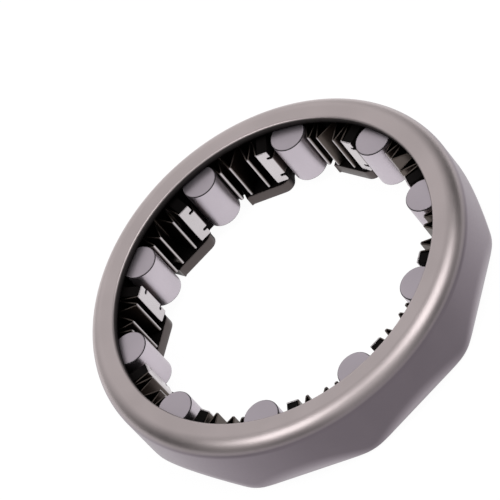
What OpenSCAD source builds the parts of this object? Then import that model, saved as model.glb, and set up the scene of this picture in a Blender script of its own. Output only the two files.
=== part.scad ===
// Roller one-way clutch for an engine starter drive.
// A ten-sided steel cup holds a cage, ten rollers and ten accordion leaf springs.
// The clutch lies on its ten-sided end, with its axis on Z and its lip at the top.
// Every flat of the cup is a ramp: a spring pushes the roller along it, towards the middle of the flat.

/* [Outer cup] */
// Outside diameter of the round wall
cup_d = 60; // [58.5:0.5:63]
// Width of the cup along its axis
cup_w = 11.4; // [11.3:0.1:14]
// Thickness of the wall between the round outside and the middle of a flat ramp
wall_t = 3.2; // [2.5:0.1:3.6]
// Thickness of the ten-sided rim at the middle of a flat, on the end face
rim_t = 1.7; // [1.4:0.1:2]
// Height of a bevel at the middle of a flat
bevel_h = 3.2; // [2.4:0.1:4]
// Radius of the rounded outer edge of the ten-sided end
rim_edge_r = 0.9; // [0.4:0.1:1.1]
// Distance by which the lip reaches in from the round outside
lip_reach = 4.5; // [3.75:0.25:5.25]
// Thickness of the lip
lip_t = 1.2; // [0.9:0.05:1.25]
// Radius of the shoulder between the round wall and the lip
shoulder_r = 2.4; // [1.5:0.1:2.6]
// Radius of the rounded inner edge of the lip
lip_edge_r = 0.35; // [0.1:0.05:0.45]

/* [Rollers] */
// Diameter of a roller
roller_d = 5.5; // [5:0.1:5.7]
// Length of a roller
roller_len = 8; // [7.6:0.1:8.05]
// Size of the edge break at both ends of a roller
roller_edge = 0.25; // [0.1:0.05:0.5]
// Distance from the middle of a flat to the axis of a parked roller
roller_park = 3.4; // [3.1:0.1:3.9]
// Running gap between a roller and its ramp
roller_gap = 0.03; // [0.02:0.01:0.08]
// Gap between a roller and the lip
roller_play = 0.2; // [0.1:0.05:0.5]

/* [Cage] */
// Gap between the end ring and the flats of the cup
ring_fit = 0.04; // [0.02:0.01:0.1]
// Width of the strip of ring that stays outside a notch
ring_strip = 1.3; // [1:0.05:1.5]
// Distance by which the inner edge of the ring stands back from the inner side of the rollers
ring_back = 1.13; // [0.9:0.05:1.4]
// Radius of the ring's corner beside a bar
ring_corner_r = 1.5; // [0.6:0.1:1.8]
// Width of a bar around the ring
bar_w = 1.7; // [1.3:0.1:2]
// Distance from the middle of a flat to the roller side of a bar
bar_u = 0.35; // [0.2:0.05:0.6]
// Distance by which a bar ends below the edge of its spring
bar_short = 0.1; // [0.05:0.05:0.5]
// Length of the two relief slots at the edge of the ring
slot_len = 7; // [4:0.5:9]
// Width of the relief slots
slot_w = 0.4; // [0.2:0.05:0.5]

/* [Springs] */
// Thickness of the spring strip
strip_t = 0.22; // [0.15:0.01:0.26]
// Width of the spring strip along the axis
strip_w = 7.1; // [6:0.1:7.5]
// Gap between the end ring and the edge of a spring
strip_lift = 0.4; // [0.2:0.05:0.5]
// Length of the tongue beside the roller
tongue_len = 3; // [2.4:0.1:3.4]
// Distance from the strip's edges to the relief cuts of the tongue
cut_inset = 1.1; // [0.7:0.05:1.4]
// Width of a relief cut
cut_w = 0.5; // [0.3:0.05:0.6]
// Depth of a relief cut, with its rounded end
cut_depth = 0.65; // [0.5:0.05:1.2]
// Radius of the sharp folds, at the middle of the strip
fold_r = 0.16; // [0.14:0.01:0.2]

/* [Hidden] */
$fn = 96;
flats = 10;
step = 360 / flats;
half_step = step / 2;

// Fits that only keep faces apart
seat = 0.03;
end_play = 0.1;
eps = 0.5;

// The cup
cup_r = cup_d / 2;
lip_r = cup_r - lip_reach;
ramp_a = cup_r - wall_t;
pocket_top = cup_w - lip_t;
rim_a = ramp_a + rim_t;
bevel_lean = atan((cup_r - rim_a) / bevel_h);
cutter = 6;
under = 2;

// The rollers: centre of a parked roller, as distance along the flat and distance from the axis
roller_r = roller_d / 2;
roller_u = -roller_park;
roller_a = ramp_a - roller_gap - roller_r;
roller_z = pocket_top - roller_play - roller_len;

// The cage: its end ring fills the width that the rollers leave
ring_t = roller_z - end_play;
ring_a = ramp_a - ring_fit;
notch_a = ring_a - ring_strip;
tab_a = roller_a - roller_r + ring_back;
notch_side = 0.4;
notch_corner_r = 0.6;
bar_back_u = bar_u + bar_w;
slot_shift = 0.9;
slot_flats = [2, 7];

// The springs: all distances are to the middle of the strip's thickness
bend_r = 0.2;
plate_step = 0.3;
strip_z = ring_t + strip_lift;
plate_a = tab_a + plate_step + strip_t / 2;
bar_a = plate_a + strip_t / 2 + seat;
bar_top = strip_z + strip_w - bar_short;
back_u = bar_back_u + seat + strip_t / 2;
push_u = roller_u - roller_r - seat - strip_t / 2;

// The folds: the inner ones, the outer ones, and the one in the corner between two flats
fold_dip = 0.65;
fold_room = 0.15;
back_fold_room = 0.05;
corner_fold_room = 0.5;
fold_in_a = plate_a - fold_dip;
fold_out_a = ramp_a - fold_room;
back_fold_a = ramp_a - back_fold_room;
corner_fold_a = ramp_a - corner_fold_room;

// Where each fold lies: its share of the angle from the bar to the next roller, and its distance
fold_places = [
    [0.065, back_fold_a],
    [0.237, fold_in_a],
    [0.335, fold_out_a],
    [0.738, fold_in_a],
    [0.753, corner_fold_a]
];

// The leaf that lies on the next roller
push_dip = 0.2;
push_rise = 1.6;
push_in_a = fold_in_a - push_dip;
push_out_a = roller_a + push_rise;

// The tongue that touches the parked roller beside the bar
tongue_reach = roller_r + seat + strip_t / 2;
root_u = bar_u - seat - strip_t / 2;
tongue_lean = tongue_angle(root_u, plate_a);

// Unit vector along v
function unit(v) = v / norm(v);

// Vector v turned a quarter turn to the left
function left(v) = [-v[1], v[0]];

// Vector v turned by an angle
function turned(v, angle) = [
    v[0] * cos(angle) - v[1] * sin(angle),
    v[0] * sin(angle) + v[1] * cos(angle)
];

// A point of flat number i: u runs along the flat, a is the distance from the axis to the flat's plane
function on_flat(i, u, a) = turned([a, u], i * step);

// A fold at distance a, at a share of the angle between the bar's leaf and the next roller's leaf
function fold_at(i, share, a) =
    let (
        first = atan(back_u / a),
        last = step + atan(push_u / a)
    )
    on_flat(i, a * tan(first + share * (last - first)), a);

// An arc of radius r in the corner b between its neighbours a and c, as steps + 1 points
function corner_arc(a, b, c, r, steps) =
    let (
        to_a = unit(a - b),
        to_c = unit(c - b),
        half = acos(to_a * to_c) / 2,
        centre = b + unit(to_a + to_c) * r / sin(half),
        first = b + to_a * r / tan(half) - centre,
        last = b + to_c * r / tan(half) - centre,
        turn = atan2(first[0] * last[1] - first[1] * last[0], first * last)
    )
    [for (k = [0:steps]) centre + turned(first, turn * k / steps)];

// A closed outline with every corner rounded by its own radius, 0 for a sharp one
function rounded_outline(points, radii, steps) =
    let (n = len(points))
    [for (k = [0:n - 1], p = radii[k] > 0
        ? corner_arc(points[(k + n - 1) % n], points[k], points[(k + 1) % n], radii[k], steps)
        : [points[k]]) p];

// An open path with its inner corners rounded
function rounded_path(points, radii, steps) =
    let (n = len(points))
    concat(
        [points[0]],
        [for (k = [1:n - 2], p = corner_arc(points[k - 1], points[k], points[k + 1], radii[k], steps)) p],
        [points[n - 1]]
    );

// Direction of a path at one of its points, the mean of the two sides that meet there
function path_dir(path, k) =
    let (
        n = len(path),
        before = unit(path[max(k, 1)] - path[max(k, 1) - 1]),
        after = unit(path[min(k, n - 2) + 1] - path[min(k, n - 2)])
    )
    unit(before + after);

// Outline of a strip of thickness t whose middle follows a path
function strip_outline(path, t) =
    let (n = len(path))
    concat(
        [for (k = [0:n - 1]) path[k] - left(path_dir(path, k)) * t / 2],
        [for (k = [n - 1:-1:0]) path[k] + left(path_dir(path, k)) * t / 2]
    );

// Lean of a tongue that starts at (u, a) and touches the parked roller's side
function tongue_angle(u, a) =
    let (
        along = u - roller_u,
        out = roller_a - a
    )
    acos(tongue_reach / norm([along, out])) - atan2(out, along);

// Half section of the cup's round blank, from the end face at z = 0 to the lip
module cup_section() {
    polygon(rounded_outline(
        [[lip_r, 0], [cup_r, 0], [cup_r, cup_w], [lip_r, cup_w]],
        [0, rim_edge_r, shoulder_r, lip_edge_r],
        8
    ));
}

// What one flat's bevel and rounded rim edge take away from the round blank
module bevel_cut() {
    reach = 2 * cup_r * tan(half_step);
    edge = [rim_a, 0];
    up = [sin(bevel_lean), cos(bevel_lean)] * 2 * bevel_h;
    inner = edge - [under, 0];
    translate([0, reach / 2, 0])
        rotate([90, 0, 0])
            linear_extrude(reach)
                polygon(concat(
                    corner_arc(inner, edge, edge + up, rim_edge_r, 6),
                    [edge + up, edge + up + [cutter, 0], edge + [cutter, -under], inner - [0, under], inner]
                ));
}

module outer_cup() {
    color([0.62, 0.59, 0.58])
        difference() {
            rotate_extrude() cup_section();
            for (i = [0:flats - 1]) rotate(i * step) bevel_cut();
            translate([0, 0, -eps])
                rotate(half_step)
                    cylinder(h = pocket_top + eps, r = ramp_a / cos(half_step), $fn = flats);
        }
}

// Inner outline of the cage's end ring: a notch for each roller, and a tab between two notches
module ring_inner_outline() {
    corner_u = tab_a * tan(half_step);
    notch_u = notch_a * tan(half_step) - notch_side;
    points = [for (i = [0:flats - 1], p = [
        [-corner_u + notch_side, tab_a],
        [-notch_u, notch_a],
        [bar_u, notch_a],
        [bar_u, tab_a],
        [corner_u, tab_a]
    ]) on_flat(i, p[0], p[1])];
    radii = [for (i = [0:flats - 1], r = [0, notch_corner_r, notch_corner_r, ring_corner_r, 0]) r];
    polygon(rounded_outline(points, radii, 5));
}

module cage() {
    color([0.6, 0.57, 0.56]) {
        linear_extrude(ring_t)
            difference() {
                rotate(half_step) circle(r = ring_a / cos(half_step), $fn = flats);
                ring_inner_outline();
                for (i = slot_flats)
                    rotate(i * step)
                        translate([ring_a - slot_w, slot_shift - slot_len / 2])
                            square([slot_w + eps, slot_len]);
            }
        for (i = [0:flats - 1])
            rotate(i * step)
                translate([bar_a, bar_u, ring_t - seat])
                    cube([ring_a - bar_a, bar_w, bar_top - ring_t + seat]);
    }
}

// Roller in the pocket of flat i
module roller(i) {
    place = on_flat(i, roller_u, roller_a);
    color([0.72, 0.68, 0.72])
        translate([place[0], place[1], roller_z])
            rotate_extrude()
                polygon(rounded_outline(
                    [[0, 0], [roller_r, 0], [roller_r, roller_len], [0, roller_len]],
                    [0, roller_edge, roller_edge, 0],
                    4
                ));
}

// Relief cut beside the tongue, open at the roller side of the plate and round at its closed end
module relief_cut() {
    cut_r = cut_w / 2;
    translate([plate_a - strip_t, bar_u - eps, 0])
        cube([2 * strip_t, eps + cut_depth - cut_r, cut_w]);
    translate([plate_a - strip_t, bar_u + cut_depth - cut_r, cut_r])
        rotate([0, 90, 0])
            cylinder(h = 2 * strip_t, r = cut_r, $fn = 16);
}

// Spring clipped to the bar of flat i, whose folds push the roller of flat i + 1
module spring(i) {
    folds = concat(
        [on_flat(i, bar_u, plate_a), on_flat(i, back_u, plate_a)],
        [for (place = fold_places) fold_at(i, place[0], place[1])],
        [on_flat(i + 1, push_u, push_in_a), on_flat(i + 1, push_u, push_out_a)]
    );
    fold_radii = [0, bend_r, fold_r, fold_r, fold_r, fold_r, fold_r, bend_r];
    root = [root_u, plate_a];
    tip = root + [-sin(tongue_lean), cos(tongue_lean)] * tongue_len;
    tongue = [
        on_flat(i, bar_u + cut_depth, plate_a),
        on_flat(i, root[0], root[1]),
        on_flat(i, tip[0], tip[1])
    ];
    color([0.84, 0.82, 0.82]) {
        difference() {
            translate([0, 0, strip_z])
                linear_extrude(strip_w)
                    polygon(strip_outline(rounded_path(folds, fold_radii, 4), strip_t));
            for (z = [cut_inset, strip_w - cut_inset - cut_w])
                rotate(i * step) translate([0, 0, strip_z + z]) relief_cut();
        }
        translate([0, 0, strip_z + cut_inset + cut_w])
            linear_extrude(strip_w - 2 * (cut_inset + cut_w))
                polygon(strip_outline(rounded_path(tongue, [0, bend_r], 4), strip_t));
    }
}

outer_cup();
cage();
for (i = [1:flats]) {
    roller(i - 1);
    spring(i - 1);
}
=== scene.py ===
import math
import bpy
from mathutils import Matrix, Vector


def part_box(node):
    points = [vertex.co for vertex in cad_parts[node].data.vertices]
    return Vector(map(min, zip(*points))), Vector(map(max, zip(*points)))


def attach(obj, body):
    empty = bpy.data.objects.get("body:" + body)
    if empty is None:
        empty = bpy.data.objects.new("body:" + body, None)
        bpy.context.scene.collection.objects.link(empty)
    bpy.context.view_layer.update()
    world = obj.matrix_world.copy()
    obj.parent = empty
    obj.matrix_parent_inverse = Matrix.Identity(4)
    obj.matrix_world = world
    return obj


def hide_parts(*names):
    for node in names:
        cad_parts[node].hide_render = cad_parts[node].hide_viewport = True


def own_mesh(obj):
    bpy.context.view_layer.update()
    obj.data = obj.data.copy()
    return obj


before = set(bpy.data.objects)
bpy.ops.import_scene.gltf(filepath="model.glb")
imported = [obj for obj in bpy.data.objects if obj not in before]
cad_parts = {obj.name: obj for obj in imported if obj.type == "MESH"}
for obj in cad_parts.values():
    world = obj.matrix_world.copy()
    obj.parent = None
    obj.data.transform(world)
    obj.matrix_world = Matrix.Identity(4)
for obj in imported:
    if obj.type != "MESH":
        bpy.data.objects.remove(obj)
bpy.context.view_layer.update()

from types import SimpleNamespace

import bpy
import numpy as np
from bpy.props import FloatProperty, FloatVectorProperty, PointerProperty
from mathutils import Matrix

bl_info = {
    "name": "Roller clutch",
    "version": (1, 0, 0),
    "blender": (4, 5, 0),
    "location": "3D View > Sidebar > Roller clutch",
    "description": "Builds a starter clutch: cup, cage, ten rollers and ten accordion springs",
    "category": "Object",
}

MM = 0.001
FLATS = 10
STEP = 2 * math.pi / FLATS
HALF_STEP = STEP / 2
SLOT_FLATS = (2, 7)
SUPPORT = 0.03
# Painted shade where pieces aren't marked bright: its roughness, metal and specular
PAINTED_SHADE_ROUGH = 0.65
PAINTED_SHADE_METAL = 0.0
PAINTED_SHADE_SPECULAR = 0.04
DRIFT_SCALE = 90
DRIFT_SPAN = (0.35, 0.65)
DRIFT = (0.95, 1.05)
# Random spread of the painted shade's colour
PAINTED_SHADE_DRIFT = (0.7, 1.3)
GRAIN_SPAN = (0.3, 0.7)
# Painted sheen: the low colour grows lighter towards the outline, between these shares of turning away, up to
# this gain
PAINTED_SHEEN_SPAN = (0.4, 0.8)
PAINTED_SHEEN_GAIN = 2.1
BUMP = 0.3


# Sizes and colours that a user may change

def length(name, description, default):
    """A length in metres, shown in the scene's unit."""
    return FloatProperty(name=name, description=description, default=default, min=0.0, precision=5,
                         unit="LENGTH")


def colour(name, description, default):
    """A linear colour."""
    return FloatVectorProperty(name=name, description=description, default=default, size=3, min=0, max=1,
                               subtype="COLOR")


class ClutchSizes(bpy.types.PropertyGroup):
    """Sizes of the clutch's pieces."""
    cup_r: length("Cup radius", "Radius of the round wall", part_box("outer_cup")[1].x)
    cup_w: length("Cup width", "Width of the cup along its axis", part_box("outer_cup")[1].z)
    wall_t: length("Wall", "Wall between the round outside and a ramp", 3.2 * MM)
    rim_t: length("Rim", "Ten-sided rim at the middle of a flat", 1.7 * MM)
    bevel_h: length("Bevel height", "Height of a bevel at the middle of a flat", 3.2 * MM)
    lip_reach: length("Lip reach", "Distance by which the lip reaches in", 4.5 * MM)
    lip_t: length("Lip thickness", "Thickness of the lip", 1.2 * MM)
    shoulder_r: length("Shoulder radius", "Radius between the wall and the lip", 2.4 * MM)
    lip_edge_r: length("Lip edge radius", "Radius of the lip's inner edge", 0.35 * MM)
    ring_t: length("Ring thickness", "Thickness of the cage's end ring", 1.9 * MM)
    ring_fit: length("Ring fit", "Gap between the ring and the ramps", 0.04 * MM)
    ring_strip: length("Ring strip", "Width of ring outside a notch", 1.3 * MM)
    tab_a: length("Tab distance", "Distance from the axis to a tab's inner edge", 22.4 * MM)
    bar_u: length("Bar place", "Distance from a flat's middle to its bar", 0.35 * MM)
    bar_w: length("Bar width", "Width of a bar around the ring", 1.7 * MM)
    roller_r: length("Roller radius", "Radius of a roller", 2.75 * MM)
    roller_len: length("Roller length", "Length of a roller", 8 * MM)
    roller_park: length("Parked place", "Distance from a flat's middle to a parked roller", 3.4 * MM)
    strip_t: length("Strip thickness", "Thickness of the spring strip", 0.22 * MM)
    strip_w: length("Strip width", "Width of the spring strip", 7.1 * MM)
    tongue_len: length("Tongue length", "Length of the tongue beside a roller", 3 * MM)
    cut_depth: length("Cut depth", "Depth of a relief cut, with its rounded end", 0.65 * MM)
    cut_w: length("Cut width", "Width of a relief cut", 0.5 * MM)
    cut_inset: length("Cut inset", "Distance from the strip's edge to a cut", 1.1 * MM)


class ClutchColours(bpy.types.PropertyGroup):
    """Colours of the clutch's finishes."""
    lip: colour("Lip", "Tumbled steel of the lip and shoulder", (0.6, 0.53, 0.53))
    # Painted shade: the round wall is the cup's steel made darker below the shoulder, and steel() lightens it
    # towards its outline as a painted sheen
    wall: colour("Wall", "Ground steel of the round wall", (0.145, 0.122, 0.14))
    # Painted shade: the cage's steel is made far darker than the cup's, for the shade on its faces inside the
    # cup
    cage: colour("Cage", "Darker stamped steel of the cage", (0.1, 0.084, 0.082))
    roller: colour("Roller", "Fine-ground bearing steel", (0.565, 0.51, 0.56))
    spring: colour("Spring", "Bright rolled spring strip", (0.6, 0.562, 0.578))
    # Painted shade: a near black for the cup's pockets and the underside of its lip, the cage's inner faces,
    # notches, bars and top, and a painted dark reflection on the rollers' end roundings
    pocket: colour("Pocket", "Unground, blackened steel inside the cup", (0.006, 0.005, 0.005))
    # Painted shade: the spring's leaves are its bright steel made dark
    leaf: colour("Leaf", "Darkened faces of the spring's leaves", (0.095, 0.078, 0.07))
    floor: colour("Floor", "Pale studio floor", (0.93, 0.93, 0.93))


def sizes():
    """The sizes in millimetres, with the places that follow from them."""
    group = bpy.context.scene.clutch_sizes
    s = SimpleNamespace(**{key: getattr(group, key) / MM for key in group.__annotations__})
    seat = 0.03
    end_play = 0.1
    strip_lift = 0.4
    bar_short = 0.1
    plate_step = 0.3
    s.ramp_a = s.cup_r - s.wall_t
    s.lip_r = s.cup_r - s.lip_reach
    s.pocket_top = s.cup_w - s.lip_t
    s.rim_a = s.ramp_a + s.rim_t
    s.lean = (s.cup_r - s.rim_a) / s.bevel_h
    s.ring_a = s.ramp_a - s.ring_fit
    s.notch_a = s.ring_a - s.ring_strip
    s.roller_a = s.ramp_a - seat - s.roller_r
    s.roller_u = -s.roller_park
    s.roller_z = s.ring_t + end_play
    s.bar_back_u = s.bar_u + s.bar_w
    s.strip_z = s.ring_t + strip_lift
    s.bar_top = s.strip_z + s.strip_w - bar_short
    s.plate_a = s.tab_a + plate_step + s.strip_t / 2
    s.bar_a = s.plate_a + s.strip_t / 2 + seat
    s.back_u = s.bar_back_u + seat + s.strip_t / 2
    s.push_u = s.roller_u - s.roller_r - seat - s.strip_t / 2
    s.root_u = s.bar_u - seat - s.strip_t / 2
    s.tongue_reach = s.roller_r + seat + s.strip_t / 2
    return s


# Plane geometry on whole arrays

def turned(points, angle):
    """Points turned about the axis: x cos - y sin, x sin + y cos."""
    points = np.asarray(points, float)
    c, s = np.cos(angle), np.sin(angle)
    return np.stack([points[..., 0] * c - points[..., 1] * s, points[..., 0] * s + points[..., 1] * c], -1)


def on_flat(i, u, a):
    """A point at distance a from the axis towards flat i, and u along that flat."""
    return turned([a, u], i * STEP)


def unit(v):
    """Vectors divided by their lengths."""
    return v / np.linalg.norm(v, axis=-1, keepdims=True)


def corner_arcs(before, corners, after, radii, steps):
    """Arcs in corners: each circle's centre lies on the corner's bisector, at radius over the sine of half
    the corner's angle, and its points turn evenly from one tangent point to the other."""
    to_a, to_c = unit(before - corners), unit(after - corners)
    half = np.arccos(np.clip((to_a * to_c).sum(-1), -1, 1)) / 2
    r = np.asarray(radii, float)
    centre = corners + unit(to_a + to_c) * (r / np.sin(half))[:, None]
    first = corners + to_a * (r / np.tan(half))[:, None] - centre
    last = corners + to_c * (r / np.tan(half))[:, None] - centre
    turn = np.arctan2(first[:, 0] * last[:, 1] - first[:, 1] * last[:, 0], (first * last).sum(-1))
    share = np.linspace(0, 1, steps + 1)
    arc = centre[:, None] + turned(first[:, None, :], turn[:, None] * share)
    lead = arc[:, :1] + to_a[:, None] * SUPPORT
    tail = arc[:, -1:] + to_c[:, None] * SUPPORT
    return np.concatenate([lead, arc, tail], 1)


def rounded_path(points, radii, steps=6):
    """An open path whose inner corners are arcs."""
    p = np.asarray(points, float)
    arcs = corner_arcs(p[:-2], p[1:-1], p[2:], radii, steps)
    return np.concatenate([p[:1], arcs.reshape(-1, 2), p[-1:]])


def rounded_loop(points, radii, steps=6):
    """A closed outline whose corners are arcs."""
    p = np.asarray(points, float)
    return corner_arcs(np.roll(p, 1, 0), p, np.roll(p, -1, 0), radii, steps).reshape(-1, 2)


def smooth_min(a, b, k):
    """The smaller of a and b, less h squared times k over 4 where they differ by less than k, with h the
    share of k that is left of their difference."""
    h = np.clip(k - np.abs(a - b), 0, None) / k
    return np.minimum(a, b) - h * h * k / 4


def loop_normals(loop):
    """Normals of a closed outline, a quarter turn from the line through each point's neighbours."""
    along = unit(np.roll(loop, -1, 0) - np.roll(loop, 1, 0))
    return np.stack([along[:, 1], -along[:, 0]], -1)


def quarter(steps):
    """Angles from 0 to a quarter turn."""
    return np.linspace(0, math.pi / 2, steps + 1)


# Surfaces on grids

def grid_faces(n, m, closed):
    """Quads of an n by m grid that is closed across m, and closed along n too if asked."""
    rows = n if closed else n - 1
    i, j = np.meshgrid(np.arange(rows), np.arange(m), indexing="ij")
    k, l = (i + 1) % n, (j + 1) % m
    return np.stack([i * m + j, k * m + j, k * m + l, i * m + l], -1).reshape(-1, 4)


def shell(points, closed):
    """A closed surface from a grid of points: a ring of sections, or a tube with a flat cap at each end."""
    n, m = points.shape[:2]
    verts = points.reshape(-1, 3)
    quads = grid_faces(n, m, closed)
    caps = [] if closed else [np.arange(m)[::-1], np.arange(m) + (n - 1) * m]
    triangles = np.concatenate([quads[:, [0, 1, 2]], quads[:, [0, 2, 3]]]
                               + [np.stack([np.full(m - 2, c[0]), c[1:-1], c[2:]], -1) for c in caps])
    a, b, c = (verts[triangles[:, k]] for k in range(3))
    if np.einsum("ij,ij->i", a, np.cross(b, c)).sum() < 0:
        quads, caps = quads[:, ::-1], [cap[::-1] for cap in caps]
    return verts, [face.tolist() for face in quads] + [cap.tolist() for cap in caps]


def turned_shell(part, i):
    """A shell turned to flat i."""
    verts, faces = part
    flat = turned(verts[:, :2], i * STEP)
    return np.column_stack([flat, verts[:, 2]]), faces


def column(loop, rows):
    """A column on a closed outline: each row moves the outline in by its inset and lifts it to its height."""
    normals = loop_normals(loop)
    rows = np.asarray(rows, float)
    flat = loop[None] - normals[None] * rows[:, :1, None]
    height = np.broadcast_to(rows[:, 1][:, None, None], flat.shape[:2] + (1,))
    return shell(np.concatenate([flat, height], -1), closed=False)


def rounded_rows(low, high, edge, steps=4):
    """Insets and heights of a column's rows, with both its edges rounded by a quarter circle."""
    t = quarter(steps)
    down = np.stack([edge * (1 - np.sin(t)), low + edge * (1 - np.cos(t))], -1)
    up = np.stack([edge * (1 - np.cos(t)), high - edge * (1 - np.sin(t))], -1)
    face_low = [[edge + SUPPORT, low]]
    face_high = [[edge + SUPPORT, high]]
    middle = [[0, low + edge + SUPPORT], [0, high - edge - SUPPORT]]
    return np.concatenate([face_low, down, middle, up, face_high])


def strip(path, thickness, low, high, edge=0.05):
    """A strip carried along a path: its section is a rounded rectangle, as thick as the strip and as high as
    it is wide, that stands across the path at each point."""
    along = np.gradient(path, axis=0)
    across = unit(np.stack([-along[:, 1], along[:, 0]], -1))
    h = thickness / 2
    section = rounded_loop([[-h, low], [h, low], [h, high], [-h, high]], np.full(4, edge), 2)
    flat = path[:, None] + across[:, None] * section[None, :, :1]
    height = np.broadcast_to(section[None, :, 1:], flat.shape[:2] + (1,))
    return shell(np.concatenate([flat, height], -1), closed=False)


def off_flat(verts):
    """Angle from the middle of the nearest flat to each point."""
    return (np.arctan2(verts[:, 1], verts[:, 0]) + HALF_STEP) % STEP - HALF_STEP


def near_distance(verts):
    """Distance from the axis to each point, measured square to the nearest flat."""
    return np.hypot(verts[:, 0], verts[:, 1]) * np.cos(off_flat(verts))


def near_offset(verts):
    """Distance from the middle of the nearest flat to each point, measured along that flat."""
    return np.hypot(verts[:, 0], verts[:, 1]) * np.sin(off_flat(verts))


def add_piece(name, shells, finish, body, nodes, sharp=38, mark=None):
    """Joins shells, in millimetres, into one object at the origin, ties it to its body, and hides the CAD
    nodes it stands for.
    mark gives each point its share of a material's main colour, against its painted shade."""
    starts = np.cumsum([0] + [len(verts) for verts, faces in shells])
    verts = np.concatenate([verts for verts, faces in shells]) * MM
    faces = [[int(k) + int(start) for k in face] for (_, part), start in zip(shells, starts) for face in part]
    mesh = bpy.data.meshes.new(name)
    mesh.from_pydata(verts.tolist(), [], faces)
    mesh.validate()
    mesh.shade_smooth()
    mesh.set_sharp_from_angle(angle=math.radians(sharp))
    mesh.materials.append(finish)
    if mark is not None:
        # The share of the main colour; the rest is painted shade
        bright = mark(verts / MM).astype(np.float32)
        mesh.attributes.new("bright", "FLOAT", "POINT").data.foreach_set("value", bright)
    piece = bpy.data.objects.new(name, mesh)
    bpy.context.scene.collection.objects.link(piece)
    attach(piece, body)
    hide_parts(*nodes)
    return piece


# Finishes

class Nodes:
    """Adds nodes to one material and links them."""

    def __init__(self, name):
        self.material = bpy.data.materials.new(name)
        self.material.use_nodes = True
        self.tree = self.material.node_tree
        self.shader = self.tree.nodes["Principled BSDF"]
        self.place = self.tree.nodes.new("ShaderNodeTexCoord").outputs["Object"]

    def link(self, source, target):
        self.tree.links.new(source, target)

    def noise(self, scale, detail=3.0, stretch=(1, 1, 1)):
        """Noise on Object coordinates, with its coordinates stretched."""
        mapping = self.tree.nodes.new("ShaderNodeMapping")
        mapping.inputs["Scale"].default_value = stretch
        self.link(self.place, mapping.inputs["Vector"])
        node = self.tree.nodes.new("ShaderNodeTexNoise")
        node.inputs["Scale"].default_value = scale
        node.inputs["Detail"].default_value = detail
        self.link(mapping.outputs["Vector"], node.inputs["Vector"])
        return node.outputs["Fac"]

    def spread(self, value, low, high, to_low, to_high):
        """Maps a value's range to another, held at the ends."""
        node = self.tree.nodes.new("ShaderNodeMapRange")
        for key, number in (("From Min", low), ("From Max", high), ("To Min", to_low), ("To Max", to_high)):
            node.inputs[key].default_value = number
        self.link(value, node.inputs["Value"])
        return node.outputs["Result"]

    def mix(self, share, first, second):
        """Mixes two colours; each is a colour or a socket."""
        node = self.tree.nodes.new("ShaderNodeMix")
        node.data_type = "RGBA"
        self.link(share, node.inputs[0])
        for key, value in ((6, first), (7, second)):
            if isinstance(value, bpy.types.NodeSocket):
                self.link(value, node.inputs[key])
            else:
                node.inputs[key].default_value = (*value, 1)
        return node.outputs[2]

    def blend(self, share, first, second):
        """Mixes two numbers; the second is a number or a socket."""
        node = self.tree.nodes.new("ShaderNodeMix")
        self.link(share, node.inputs[0])
        node.inputs[2].default_value = first
        if isinstance(second, bpy.types.NodeSocket):
            self.link(second, node.inputs[3])
        else:
            node.inputs[3].default_value = second
        return node.outputs[0]

    def mark(self):
        """The share of the main colour, against the painted shade, that add_piece gave each point."""
        node = self.tree.nodes.new("ShaderNodeAttribute")
        node.attribute_name = "bright"
        return node.outputs["Fac"]

    def height(self):
        """Height above the floor, in metres."""
        node = self.tree.nodes.new("ShaderNodeSeparateXYZ")
        self.link(self.place, node.inputs["Vector"])
        return node.outputs["Z"]

    def turned_away(self):
        """How far a face turns away from the viewer: 0 where it looks at them and 1 at its outline."""
        node = self.tree.nodes.new("ShaderNodeLayerWeight")
        node.inputs["Blend"].default_value = 0.5
        return node.outputs["Facing"]

    def bump(self, value, strength, distance):
        """A bump on the shader's normal."""
        node = self.tree.nodes.new("ShaderNodeBump")
        node.inputs["Strength"].default_value = strength
        node.inputs["Distance"].default_value = distance
        self.link(value, node.inputs["Height"])
        self.link(node.outputs["Normal"], self.shader.inputs["Normal"])


def shade(tone, factor):
    """A colour made lighter or darker."""
    return tuple(min(1.0, c * factor) for c in tone)


def steel(name, tone, rough, spread, grain, grain_depth, stretch=(1, 1, 1), low_tone=None,
          band=(0.0096, 0.0108), painted_shade_tone=None, painted_shade_rough=PAINTED_SHADE_ROUGH, painted_shade_metal=PAINTED_SHADE_METAL):
    """Bare steel: a slow drift of its colour, a grain in its roughness and bump, another colour below a
    height if given, as painted shade lightened towards the outline as a painted sheen, and a painted shade
    colour where its pieces aren't marked bright, if given."""
    n = Nodes(name)
    n.shader.inputs["Metallic"].default_value = 1.0
    drift = n.spread(n.noise(DRIFT_SCALE, 2), *DRIFT_SPAN, 0, 1)
    tint = n.mix(drift, shade(tone, DRIFT[0]), shade(tone, DRIFT[1]))
    if low_tone:
        # Painted shade below the band's height, lightened towards the outline as a painted sheen
        zone = n.spread(n.height(), *band, 0, 1)
        away = n.spread(n.turned_away(), *PAINTED_SHEEN_SPAN, 0, 1)
        facing_tint = n.mix(drift, shade(low_tone, DRIFT[0]), shade(low_tone, DRIFT[1]))
        low_tint = n.mix(away, facing_tint, shade(low_tone, PAINTED_SHEEN_GAIN))
        tint = n.mix(zone, low_tint, tint)
    fine = n.noise(grain, 4, stretch)
    polish = n.spread(fine, *GRAIN_SPAN, rough - spread, rough + spread)
    if painted_shade_tone:
        # Painted shade where the piece isn't marked bright
        bright = n.mark()
        painted_shade_tint = n.mix(drift, shade(painted_shade_tone, PAINTED_SHADE_DRIFT[0]), shade(painted_shade_tone, PAINTED_SHADE_DRIFT[1]))
        tint = n.mix(bright, painted_shade_tint, tint)
        polish = n.blend(bright, painted_shade_rough, polish)
        n.link(n.blend(bright, painted_shade_metal, 1.0), n.shader.inputs["Metallic"])
        n.shader.inputs["Specular IOR Level"].default_value = PAINTED_SHADE_SPECULAR
    n.link(tint, n.shader.inputs["Base Color"])
    n.link(polish, n.shader.inputs["Roughness"])
    n.bump(fine, BUMP, grain_depth)
    return n.material


# Operators: one for each piece or group of like pieces, and one for the stage

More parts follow.
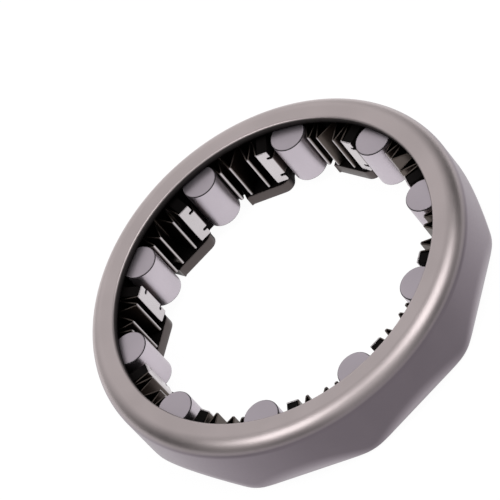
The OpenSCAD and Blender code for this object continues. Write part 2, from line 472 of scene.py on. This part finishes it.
class CLUTCH_OT_cup(bpy.types.Operator):
    """Add the ten-sided cup with its turned-in lip"""
    bl_idname = "clutch.cup"
    bl_label = "Add cup"

    def execute(self, context):
        """The cup is a grid of angle and place along its section. Its outside is the smooth lesser of the
        round wall and ten bevel planes, whose distance from the axis grows with height, divided by the cosine
        of the angle from the middle of the flat. Its inside is ten flats, closed by the lip."""
        s, tones = sizes(), context.scene.clutch_colours
        plan_round, crease_round = 0.9, 0.7
        foot_h, foot_in, mouth = 0.62, 0.66, 0.08
        edge_gain, edge_low = 2.5, 0.1
        angle = np.linspace(0, 2 * math.pi, 360, endpoint=False)[:, None]
        off = (angle + HALF_STEP) % STEP - HALF_STEP
        near, far = 1 / np.cos(off), 1 / np.cos(STEP - np.abs(off))

        def outside(z):
            a = s.rim_a + s.lean * z
            return smooth_min(s.cup_r, smooth_min(a * near, a * far, plan_round), crease_round)

        def row(r, z):
            r, z = np.broadcast_arrays(np.atleast_2d(r), np.atleast_2d(z))
            wide = np.broadcast_to(r, (len(angle), r.shape[1]))
            return np.stack([wide, np.broadcast_to(z, wide.shape)], -1)

        e, big = s.lip_edge_r, s.shoulder_r
        t, t_big, t_foot = quarter(6), quarter(24), quarter(8)
        wall_z = np.linspace(s.cup_w - big - SUPPORT, foot_h + SUPPORT, 44)
        foot_z = foot_h * (1 - np.sin(t_foot))
        ramp = s.ramp_a * near
        section = np.concatenate([
            row(s.lip_r, [s.pocket_top, s.pocket_top + SUPPORT, s.cup_w - e - SUPPORT]),
            row(s.lip_r + e * (1 - np.cos(t)), s.cup_w - e + e * np.sin(t)),
            row([s.lip_r + e + SUPPORT, s.cup_r - big - SUPPORT], s.cup_w),
            row(s.cup_r - big + big * np.sin(t_big), s.cup_w - big + big * np.cos(t_big)),
            row(outside(wall_z[None]), wall_z[None]),
            row(outside(foot_z[None]) - foot_in * (1 - np.cos(t_foot)), foot_z[None]),
            row(outside(0 * angle) - foot_in - SUPPORT, 0),
            row(ramp + mouth + SUPPORT, 0),
            row(ramp + mouth, 0),
            row(ramp, [[mouth, mouth + SUPPORT, s.pocket_top - SUPPORT, s.pocket_top]]),
            row(ramp - SUPPORT, s.pocket_top),
            row(s.lip_r + SUPPORT, s.pocket_top),
        ], 1)
        r, z = section[..., 0], section[..., 1]
        points = np.stack([r * np.cos(angle), r * np.sin(angle), z], -1)
        # The wall's colour below the shoulder is painted shade with a painted sheen, and the pocket colour is
        # painted shade
        finish = steel("cup_steel", tones.lip, 0.38, 0.02, 2600, 0.0000015, low_tone=tuple(tones.wall),
                       painted_shade_tone=tuple(tones.pocket))

        def mark(verts):
            """1 on the outside and the end face, less on the lip's inner edge, and 0 in the pockets and under
            the lip. The less and the 0 are painted shade, darkening the lip's inner edge, the pockets and the
            underside of the lip."""
            within_ramps = near_distance(verts) < s.ramp_a + mouth / 2
            below_lip = verts[:, 2] < s.pocket_top + 2 * SUPPORT
            past_edge = edge_gain * (np.hypot(verts[:, 0], verts[:, 1]) - s.lip_r) / s.lip_edge_r
            return np.clip(past_edge, edge_low, 1) * (1.0 - (within_ramps & below_lip))

        add_piece("cup", [shell(points, closed=True)], finish, "housing", ["outer_cup"],
                  mark=mark)
        return {"FINISHED"}


class CLUTCH_OT_cage(bpy.types.Operator):
    """Add the cage: a notched end ring with ten bars"""
    bl_idname = "clutch.cage"
    bl_label = "Add cage"

    def execute(self, context):
        """The ring is a grid between two outlines, notched inside and ten-sided outside, with its four edges
        rounded by quarter circles. Each bar is a column on a rounded rectangle."""
        s, tones = sizes(), context.scene.clutch_colours
        side, edge, near_step = 0.4, 0.1, 0.02
        slot_depth, slot_from, slot_to = 0.4, -2.6, 4.4
        corner_round, notch_round, tab_round, bar_round = 0.14, 0.6, 1.5, 0.12
        top_margin, top_fade, tab_reach, tab_fade = 0.0005, 0.005, 1.1, 0.6
        corner_u = s.tab_a * math.tan(HALF_STEP)
        notch_u = s.notch_a * math.tan(HALF_STEP) - side
        corners = np.array([[-corner_u + side, s.tab_a], [-notch_u, s.notch_a], [s.bar_u, s.notch_a],
                            [s.bar_u, s.tab_a], [corner_u, s.tab_a]])
        flats = np.arange(FLATS)[:, None]
        spots = turned(np.broadcast_to(corners[:, ::-1], (FLATS, 5, 2)), flats * STEP).reshape(-1, 2)
        radii = np.tile([corner_round, notch_round, notch_round, tab_round, corner_round], FLATS)
        arcs = corner_arcs(np.roll(spots, 1, 0), spots, np.roll(spots, -1, 0), radii, 6)
        arcs = arcs.reshape(FLATS, 5, -1, 2)
        polar = np.arctan2(arcs[..., 1], arcs[..., 0])
        off = (polar + HALF_STEP) % STEP - HALF_STEP
        rim = (s.ring_a / np.cos(off))[..., None] * np.stack([np.cos(polar), np.sin(polar)], -1)
        depth = np.where(np.isin(np.arange(FLATS), SLOT_FLATS), slot_depth, 0.0)[:, None]
        step_u = np.array([-near_step, near_step])

        def pair(u, a, dip):
            """Two points beside u on every flat, moved in by the slot's depth where dip is 1."""
            local = np.stack([np.broadcast_to(a - depth * dip, (FLATS, 2)),
                              np.broadcast_to(u + step_u, (FLATS, 2))], -1)
            return turned(local, flats * STEP)

        inner = np.concatenate([arcs[:, 0], arcs[:, 1], pair(slot_from, s.notch_a, 0), arcs[:, 2], arcs[:, 3],
                                pair(slot_to, s.tab_a, 0), arcs[:, 4]], 1).reshape(-1, 2)
        dipped = depth[:, None]
        outward = np.stack([np.cos(np.arange(FLATS) * STEP), np.sin(np.arange(FLATS) * STEP)], -1)[:, None]
        outer = np.concatenate([rim[:, 0], rim[:, 1], pair(slot_from, s.ring_a, np.array([0, 1])),
                                rim[:, 2] - outward * dipped, rim[:, 3] - outward * dipped,
                                pair(slot_to, s.ring_a, np.array([1, 0])), rim[:, 4]], 1).reshape(-1, 2)
        from_inner, from_outer = loop_normals(inner), -loop_normals(outer)
        t = quarter(4)
        z_up, z_down = s.ring_t - edge * (1 - np.sin(t)), edge * (1 - np.sin(t))
        inset = edge * (1 - np.cos(t))

        def rows(loop, into, insets, heights):
            """Rows of an outline, each moved into the ring by its inset and lifted to its height."""
            flat = loop[:, None] + into[:, None] * np.asarray(insets)[None, :, None]
            height = np.broadcast_to(np.asarray(heights)[None, :, None], flat.shape[:2] + (1,))
            return np.concatenate([flat, height], -1)

        ring = np.concatenate([
            rows(inner, from_inner, [0.0], [s.ring_t / 2]),
            rows(inner, from_inner, inset, z_up),
            rows(outer, from_outer, inset[::-1], z_up[::-1]),
            rows(outer, from_outer, [0.0], [s.ring_t / 2]),
            rows(outer, from_outer, inset, z_down),
            rows(inner, from_inner, inset[::-1], z_down[::-1]),
        ], 1)
        low, high, far = s.ring_t - SUPPORT, s.bar_top, s.ring_a
        bar_loop = rounded_loop([[s.bar_a, s.bar_u], [far, s.bar_u],
                                 [far, s.bar_back_u], [s.bar_a, s.bar_back_u]], np.full(4, bar_round), 3)
        bar = column(bar_loop, rounded_rows(low, high, edge, 3))
        # Painted shade: the cage's dark steel, near black where it isn't marked bright, and the wall's
        # painted colour on its end face
        finish = steel("cage_steel", tones.cage, 0.34, 0.03, 2200, 0.000002, low_tone=tuple(tones.wall),
                       band=(0.00004, 0.0002), painted_shade_tone=tuple(tones.pocket))
        shells = [shell(ring, closed=True)] + [turned_shell(bar, i) for i in range(FLATS)]

        def mark(verts):
            """1 on the end face and the tabs' edges, and 0 on the ring's inner face, in its notches and on
            the bars. The 0 is painted shade, and it also covers the ring's top face and the top of its
            rounded edge."""
            below = np.clip((s.ring_t - top_margin - verts[:, 2]) / top_fade, 0, 1)
            on_tab = np.clip((s.tab_a + tab_reach - near_distance(verts)) / tab_fade, 0, 1)
            return below * np.maximum(on_tab, verts[:, 2] < edge)

        add_piece("cage_ring", shells, finish, "housing", ["cage"], mark=mark)
        return {"FINISHED"}


class CLUTCH_OT_rollers(bpy.types.Operator):
    """Add the ten rollers"""
    bl_idname = "clutch.rollers"
    bl_label = "Add rollers"

    def execute(self, context):
        """A roller is a column on a circle, with its end edges rounded. Roller k stands in the pocket of flat
        k - 1."""
        s, tones = sizes(), context.scene.clutch_colours
        angle = np.linspace(0, 2 * math.pi, 96, endpoint=False)
        circle = np.stack([np.cos(angle), np.sin(angle)], -1) * s.roller_r + [s.roller_a, s.roller_u]
        edge, face_end, face_level, line_from, line_to = 0.2, 0.1, 0.5, 0.3, 0.9
        roller = column(circle, rounded_rows(s.roller_z, s.roller_z + s.roller_len, edge, 5))
        # Painted dark reflection: near black on the roundings at the roller's ends
        finish = steel("roller_steel", tones.roller, 0.4, 0.02, 900, 0.0000008, stretch=(1, 1, 6),
                       painted_shade_tone=tuple(tones.pocket))

        def mark(verts):
            """1 on the body and the end faces, and less on the rounding between them, most of which is 0: a
            painted dark reflection along the end edges.
            """
            middle = s.roller_z + s.roller_len / 2
            share = (s.roller_len / 2 - np.abs(verts[:, 2] - middle)) / edge
            return np.interp(share, [0, face_end, line_from, line_to, 1], [1, face_level, 0, 0, 1])

        for i in range(FLATS):
            add_piece(f"roller_body_{i + 1}", [turned_shell(roller, i)], finish, f"roller_{i + 1}",
                      [f"roller_{i + 1}"], mark=mark)
        return {"FINISHED"}


class CLUTCH_OT_springs(bpy.types.Operator):
    """Add the ten accordion springs, each as a clip and its folds"""
    bl_idname = "clutch.springs"
    bl_label = "Add springs"

    def execute(self, context):
        """A spring is a strip carried along a path of rounded folds. Each fold's angle is its share of the
        way from the bar's leaf to the next roller's leaf. The clip sits on the bar, and the folds are a piece
        of their own."""
        s, tones = sizes(), context.scene.clutch_colours
        bend_r, fold_r = 0.2, 0.16
        fold_depth, first_gap, middle_gap, last_gap = 0.65, 0.05, 0.15, 0.5
        leaf_cut, bend_drop, last_rise = 0.6, 0.2, 1.6
        fold_in_a, ramp = s.plate_a - fold_depth, s.ramp_a
        share = np.array([0.065, 0.237, 0.335, 0.738, 0.753])
        a = np.array([ramp - first_gap, fold_in_a, ramp - middle_gap, fold_in_a, ramp - last_gap])
        first, last = np.arctan(s.back_u / a), STEP + np.arctan(s.push_u / a)
        places = np.stack([a, a * np.tan(first + share * (last - first))], -1)
        back = np.array([s.plate_a, s.back_u])
        leaf_from = back + unit(places[0] - back) * leaf_cut
        bend_a, end_a = fold_in_a - bend_drop, s.roller_a + last_rise
        folds = rounded_path(np.concatenate([
            [leaf_from], places, [on_flat(1, s.push_u, bend_a), on_flat(1, s.push_u, end_a)],
        ]), [fold_r] * len(places) + [bend_r])
        low, high = s.strip_z, s.strip_z + s.strip_w
        cut_u, cut_r = s.bar_u + s.cut_depth, s.cut_w / 2
        overlap, sink = 0.2, 0.006
        tongue_u, join_u = s.root_u + bend_r, cut_u + cut_r
        cut_in, cut_out = s.cut_inset, s.cut_inset + s.cut_w
        t, edge, lug_r, end_r = s.strip_t, 0.05, 0.12, cut_r - SUPPORT
        face = rounded_loop(
            [[s.bar_u, low], [join_u, low], [join_u, high], [s.bar_u, high],
             [s.bar_u, high - cut_in], [cut_u, high - cut_in], [cut_u, high - cut_out],
             [tongue_u, high - cut_out], [tongue_u, low + cut_out], [cut_u, low + cut_out],
             [cut_u, low + cut_in], [s.bar_u, low + cut_in]],
            [lug_r, lug_r, lug_r, lug_r, lug_r, end_r, end_r, lug_r, lug_r, end_r, end_r, lug_r])
        verts, faces = column(face, rounded_rows(s.plate_a - t / 2, s.plate_a + t / 2, edge, 3))
        plate = rounded_path([[s.plate_a + sink, join_u - overlap], back, leaf_from], [bend_r])
        along, out = s.root_u - s.roller_u, s.roller_a - s.plate_a
        lean = math.acos(s.tongue_reach / math.hypot(along, out)) - math.atan2(out, along)
        root = np.array([s.plate_a, s.root_u])
        tip = root + np.array([math.cos(lean), -math.sin(lean)]) * s.tongue_len
        tongue = rounded_path([[s.plate_a + sink, tongue_u + overlap], root, tip], [bend_r])
        clip_shells = [
            (verts[:, [2, 0, 1]], faces),
            strip(plate, t, low, high, edge),
            strip(tongue, t, low + cut_out, high - cut_out, edge),
        ]
        fold_shell = strip(folds, t, low, high, edge)
        # Painted shade on the leaves and the tongue: the same steel, darkened where it isn't marked bright
        finish = steel("spring_steel", tones.spring, 0.28, 0.02, 1500, 0.0000003, stretch=(1, 1, 0.15),
                       painted_shade_tone=tuple(tones.leaf), painted_shade_rough=0.3, painted_shade_metal=1.0)

        # Fades of the painted shade on the clip, and levels of the crests' painted highlights
        leaf_fade, bend_fade, bend_level = 0.04, 0.12, 0.7
        crest_levels = (0.45, 1, 0.45)

        def plate_mark(verts):
            """1 on the plate, less around the tongue's bend, and 0 on the rest of the tongue and on the
            leaf; the less and the 0 are painted shade."""
            shallow = np.clip((s.plate_a + t / 2 + leaf_fade - near_distance(verts)) / leaf_fade, 0, 1)
            return shallow * np.clip((near_offset(verts) - s.root_u) / bend_fade + bend_level, 0, 1)

        def crest_mark(verts):
            """1 at the middle of the arcs of the inner folds and of the bend at the next roller, less beside
            it, and 0 elsewhere: the crests are painted highlights and the leaves between them painted shade."""
            corners = len(places) + 1
            rows = np.zeros((corners, (len(folds) - 2) // corners))
            rows[1::2, 3:-3] = crest_levels
            along_path = np.concatenate([[0], rows.ravel(), [0]])
            return np.repeat(along_path, len(verts) // len(folds))

        for i in range(FLATS):
            clip = [turned_shell(part, i) for part in clip_shells]
            add_piece(f"spring_clip_{i + 1}", clip, finish, "housing", [f"spring_{i + 1}"],
                      mark=plate_mark)
            piece = add_piece(f"spring_folds_{i + 1}", [turned_shell(fold_shell, i)], finish, "housing",
                              [f"spring_{i + 1}"], mark=crest_mark)
            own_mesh(piece)
        return {"FINISHED"}


class CLUTCH_OT_stage(bpy.types.Operator):
    """Add the pale floor, the soft lights and the camera"""
    bl_idname = "clutch.stage"
    bl_label = "Add stage"

    def execute(self, context):
        """The camera looks from its azimuth and elevation at its target, rolled about its line of sight."""
        scene, tones = context.scene, context.scene.clutch_colours
        scene.view_settings.view_transform = "Standard"
        self.camera(scene)
        self.world(scene)
        self.floor(scene, tones)
        for name, place, size, power in (
            ("left", (-0.2, 0.2, 0.53), 0.3, 0.6),
            ("right", (0.05, -0.27, 0.51), 0.38, 0.75),
            ("front", (-0.5, -0.3, 0.3), 0.7, 0.5),
        ):
            lamp = bpy.data.lights.new(name, "AREA")
            lamp.size, lamp.energy = size, power
            lamp_object = bpy.data.objects.new(name, lamp)
            scene.collection.objects.link(lamp_object)
            back = np.array(place) / np.linalg.norm(place)
            lamp_object.matrix_world = self.look(back, place, 0.0)
        return {"FINISHED"}

    def look(self, back, place, roll):
        """A matrix whose local z is back, turned by roll about it, standing at place."""
        flat = math.hypot(back[0], back[1])
        right = np.array([-back[1], back[0], 0]) / flat
        up = np.cross(back, right)
        x = math.cos(roll) * right + math.sin(roll) * up
        y = -math.sin(roll) * right + math.cos(roll) * up
        return Matrix(np.column_stack([x, y, back, place]).tolist() + [[0, 0, 0, 1]])

    def camera(self, scene):
        """Adds the camera, with the place and lens that were fitted to the large view of the photo."""
        azimuth, elevation, roll = math.radians(209.07), math.radians(44.98), math.radians(-41.39)
        distance, target = 0.5247, np.array([0.00985, 0.00605, 0.005])
        back = np.array([math.cos(elevation) * math.cos(azimuth), math.cos(elevation) * math.sin(azimuth),
                         math.sin(elevation)])
        data = bpy.data.cameras.new("camera")
        data.sensor_width, data.lens, data.clip_start = 36, 259.47, 0.01
        camera = bpy.data.objects.new("camera", data)
        scene.collection.objects.link(camera)
        camera.matrix_world = self.look(back, target + back * distance, roll)
        scene.camera = camera

    def world(self, scene):
        """Light grows from the horizon to high up. Lower down it also changes from the far side, over dark
        bands at both sides, to the camera's side, so that bare metal shows soft bands."""
        scene.world = bpy.data.worlds.new("studio")
        scene.world.use_nodes = True
        tree = scene.world.node_tree
        background = tree.nodes["Background"]
        where = tree.nodes.new("ShaderNodeTexCoord")
        apart = tree.nodes.new("ShaderNodeSeparateXYZ")
        tree.links.new(where.outputs["Generated"], apart.inputs["Vector"])
        rise = self.ramp(tree, apart.outputs["Z"], (
            (0.0, 0.24), (0.3, 0.3), (0.55, 0.46), (0.7, 0.58), (0.88, 0.6), (1.0, 0.55),
        ))
        tree.links.new(rise, background.inputs["Color"])
        side = tree.nodes.new("ShaderNodeVectorMath")
        side.operation = "DOT_PRODUCT"
        side.inputs[1].default_value = (-0.87, -0.49, 0)
        tree.links.new(where.outputs["Generated"], side.inputs[0])
        share = tree.nodes.new("ShaderNodeMath")
        share.operation = "MULTIPLY_ADD"
        share.inputs[1].default_value, share.inputs[2].default_value = 0.5, 0.5
        tree.links.new(side.outputs["Value"], share.inputs[0])
        bands = self.ramp(tree, share.outputs["Value"], (
            (0.0, 2.6), (0.07, 2.0), (0.16, 1.15), (0.22, 0.6), (0.28, 0.02), (0.43, 0.02), (0.53, 0.9),
            (0.68, 1.0), (0.8, 0.4), (1.0, 0.5),
        ))
        low = tree.nodes.new("ShaderNodeMapRange")
        for key, number in (("From Min", 0.78), ("From Max", 0.92), ("To Min", 1.0), ("To Max", 0.0)):
            low.inputs[key].default_value = number
        tree.links.new(apart.outputs["Z"], low.inputs["Value"])
        strength = tree.nodes.new("ShaderNodeMix")
        strength.inputs[2].default_value = 1.0
        tree.links.new(low.outputs["Result"], strength.inputs[0])
        tree.links.new(bands, strength.inputs[3])
        tree.links.new(strength.outputs[0], background.inputs["Strength"])

    def ramp(self, tree, value, levels):
        """Greys, a little warm, at places between 0 and 1 of a value."""
        warm = 0.985
        node = tree.nodes.new("ShaderNodeValToRGB")
        tree.links.new(value, node.inputs["Fac"])
        stops = node.color_ramp.elements
        stops[0].position, stops[1].position = levels[0][0], levels[-1][0]
        for position, _ in levels[1:-1]:
            stops.new(position)
        for stop, (_, level) in zip(stops, levels):
            stop.color = (level, warm * level, warm * level, 1)
        return node.outputs["Color"]

    def floor(self, scene, tones):
        """Camera, glossy and transmission rays see most of the floor as white, and the rest keeps the
        shadow."""
        half, rough, white_share, white_level = 1.5, 0.7, 0.88, 1.08
        corners = [(-half, -half, 0), (half, -half, 0), (half, half, 0), (-half, half, 0)]
        mesh = bpy.data.meshes.new("floor")
        mesh.from_pydata(corners, [], [(0, 1, 2, 3)])
        floor = bpy.data.objects.new("floor", mesh)
        scene.collection.objects.link(floor)
        n = Nodes("floor")
        tree = n.tree
        n.shader.inputs["Roughness"].default_value = rough
        n.shader.inputs["Base Color"].default_value = (*tones.floor, 1)
        path = tree.nodes.new("ShaderNodeLightPath")
        add = tree.nodes.new("ShaderNodeMath")
        add.operation = "ADD"
        tree.links.new(path.outputs["Is Camera Ray"], add.inputs[0])
        tree.links.new(path.outputs["Is Glossy Ray"], add.inputs[1])
        more = tree.nodes.new("ShaderNodeMath")
        more.operation, more.use_clamp = "ADD", True
        tree.links.new(add.outputs[0], more.inputs[0])
        tree.links.new(path.outputs["Is Transmission Ray"], more.inputs[1])
        share = tree.nodes.new("ShaderNodeMath")
        share.operation = "MULTIPLY"
        share.inputs[1].default_value = white_share
        tree.links.new(more.outputs[0], share.inputs[0])
        glow = tree.nodes.new("ShaderNodeEmission")
        glow.inputs["Strength"].default_value = white_level
        blend = tree.nodes.new("ShaderNodeMixShader")
        tree.links.new(share.outputs[0], blend.inputs["Fac"])
        tree.links.new(n.shader.outputs["BSDF"], blend.inputs[1])
        tree.links.new(glow.outputs["Emission"], blend.inputs[2])
        tree.links.new(blend.outputs["Shader"], tree.nodes["Material Output"].inputs["Surface"])
        mesh.materials.append(n.material)


class CLUTCH_PT_panel(bpy.types.Panel):
    """Lists the pieces of the clutch"""
    bl_idname = "CLUTCH_PT_panel"
    bl_label = "Roller clutch"
    bl_space_type = "VIEW_3D"
    bl_region_type = "UI"
    bl_category = "Roller clutch"

    def draw(self, context):
        for operator in OPERATORS:
            self.layout.operator(operator.bl_idname)


OPERATORS = (CLUTCH_OT_stage, CLUTCH_OT_cup, CLUTCH_OT_cage, CLUTCH_OT_rollers, CLUTCH_OT_springs)
CLASSES = (ClutchSizes, ClutchColours, CLUTCH_PT_panel) + OPERATORS


def register():
    for cls in CLASSES:
        bpy.utils.register_class(cls)
    bpy.types.Scene.clutch_sizes = PointerProperty(type=ClutchSizes)
    bpy.types.Scene.clutch_colours = PointerProperty(type=ClutchColours)


def unregister():
    del bpy.types.Scene.clutch_colours
    del bpy.types.Scene.clutch_sizes
    for cls in reversed(CLASSES):
        bpy.utils.unregister_class(cls)


def main():
    """Builds everything."""
    register()
    bpy.ops.clutch.stage()
    bpy.ops.clutch.cup()
    bpy.ops.clutch.cage()
    bpy.ops.clutch.rollers()
    bpy.ops.clutch.springs()


if __name__ == "__main__":
    main()
